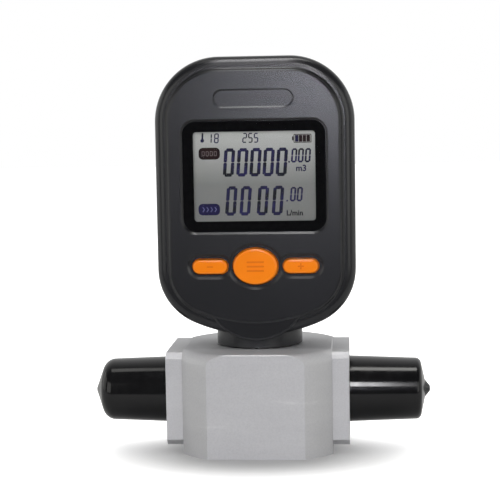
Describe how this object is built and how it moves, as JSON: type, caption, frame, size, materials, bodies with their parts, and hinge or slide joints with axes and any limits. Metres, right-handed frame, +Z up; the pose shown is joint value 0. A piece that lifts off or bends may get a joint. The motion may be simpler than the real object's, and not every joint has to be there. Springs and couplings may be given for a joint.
{
  "type": "digital air flow meter",
  "caption": "Digital air flow meter: grey metal flow block with capped pipe-thread ends, and a turning dark display head with a window and orange keys.",
  "frame": {"origin": "centre of the flow block's base, on the vertical axis that the head turns about", "axes": "+X along the flow towards the outlet, -Y is the display side, +Z up"},
  "size_m": [0.1199, 0.055, 0.1376],
  "materials": {
    "block_metal": "matte",
    "spigot_metal": "satin",
    "case_plastic": "satin",
    "cap_vinyl": "gloss",
    "key_orange": "matte",
    "window_pane": "gloss",
    "mask_print": "gloss",
    "display_glass": "satin",
    "light_guide": "satin",
    "holder_plastic": "matte",
    "seal_rubber": "matte",
    "screw_steel": "satin",
    "contact_steel": "satin",
    "nut_brass": "satin",
    "board_green": "satin",
    "chip_black": "matte",
    "washer_nylon": "satin",
    "cell_sleeve": "satin",
    "cable_jacket": "satin",
    "sensor_silicon": "gloss"
  },
  "bodies": {
    "meter_base": {"flow_body": "block_metal", "inlet_fitting": "block_metal", "outlet_fitting": "block_metal", "flange_screws": "screw_steel", "flange_seals": "seal_rubber", "flow_screens": "contact_steel", "flow_straightener": "washer_nylon", "sensor_carrier": "holder_plastic", "sensor_chip": "sensor_silicon", "sensor_seal": "seal_rubber", "sensor_board": "board_green", "sensor_header": "washer_nylon", "sensor_screws": "screw_steel", "swivel_spigot": "spigot_metal", "spigot_screws": "screw_steel", "stop_pin": "screw_steel", "thrust_washer": "washer_nylon", "friction_washer": "washer_nylon", "swivel_nut": "nut_brass"},
    "inlet_cap": {"inlet_cap": "cap_vinyl"},
    "outlet_cap": {"outlet_cap": "cap_vinyl"},
    "display_head": {"neck_collar": "case_plastic", "front_case": "case_plastic", "rear_case": "case_plastic", "case_gasket": "seal_rubber", "case_screws": "screw_steel", "display_window": "window_pane", "window_mask": "mask_print", "lcd_glass": "display_glass", "lcd_backlight": "light_guide", "lcd_strip": "seal_rubber", "lcd_frame": "holder_plastic", "main_board": "board_green", "board_chips": "chip_black", "board_screws": "screw_steel", "sensor_socket": "washer_nylon", "sensor_cable": "cable_jacket", "switch_bodies": "chip_black", "battery_cells": "cell_sleeve", "contact_plates": "contact_steel", "contact_springs": "contact_steel"},
    "minus_key": {"minus_key": "key_orange", "minus_plunger": "holder_plastic"},
    "centre_key": {"centre_key": "key_orange", "centre_plunger": "holder_plastic"},
    "plus_key": {"plus_key": "key_orange", "plus_plunger": "holder_plastic"},
    "battery_door": {"battery_door": "case_plastic", "door_screws": "screw_steel"}
  },
  "joints": [
    {"name": "head_turn", "type": "hinge", "parent": "meter_base", "child": "display_head", "pos_m": [0, 0, 0.0366], "axis": [0, 0, 1], "range_deg": [-90, 90]},
    {"name": "inlet_cap_pull", "type": "slide", "parent": "meter_base", "child": "inlet_cap", "axis": [-1, 0, 0], "range_m": [0, 0.045]},
    {"name": "outlet_cap_pull", "type": "slide", "parent": "meter_base", "child": "outlet_cap", "axis": [1, 0, 0], "range_m": [0, 0.045]},
    {"name": "minus_key_press", "type": "slide", "parent": "display_head", "child": "minus_key", "axis": [0, 1, 0], "range_m": [0, 0.0008], "stiffness_N_per_m": 1500, "springref_m": -0.0004},
    {"name": "centre_key_press", "type": "slide", "parent": "display_head", "child": "centre_key", "axis": [0, 1, 0], "range_m": [0, 0.0008], "stiffness_N_per_m": 1500, "springref_m": -0.0004},
    {"name": "plus_key_press", "type": "slide", "parent": "display_head", "child": "plus_key", "axis": [0, 1, 0], "range_m": [0, 0.0008], "stiffness_N_per_m": 1500, "springref_m": -0.0004},
    {"name": "battery_door_lift", "type": "slide", "parent": "display_head", "child": "battery_door", "axis": [0, 1, 0], "range_m": [0, 0.03]}
  ]
}
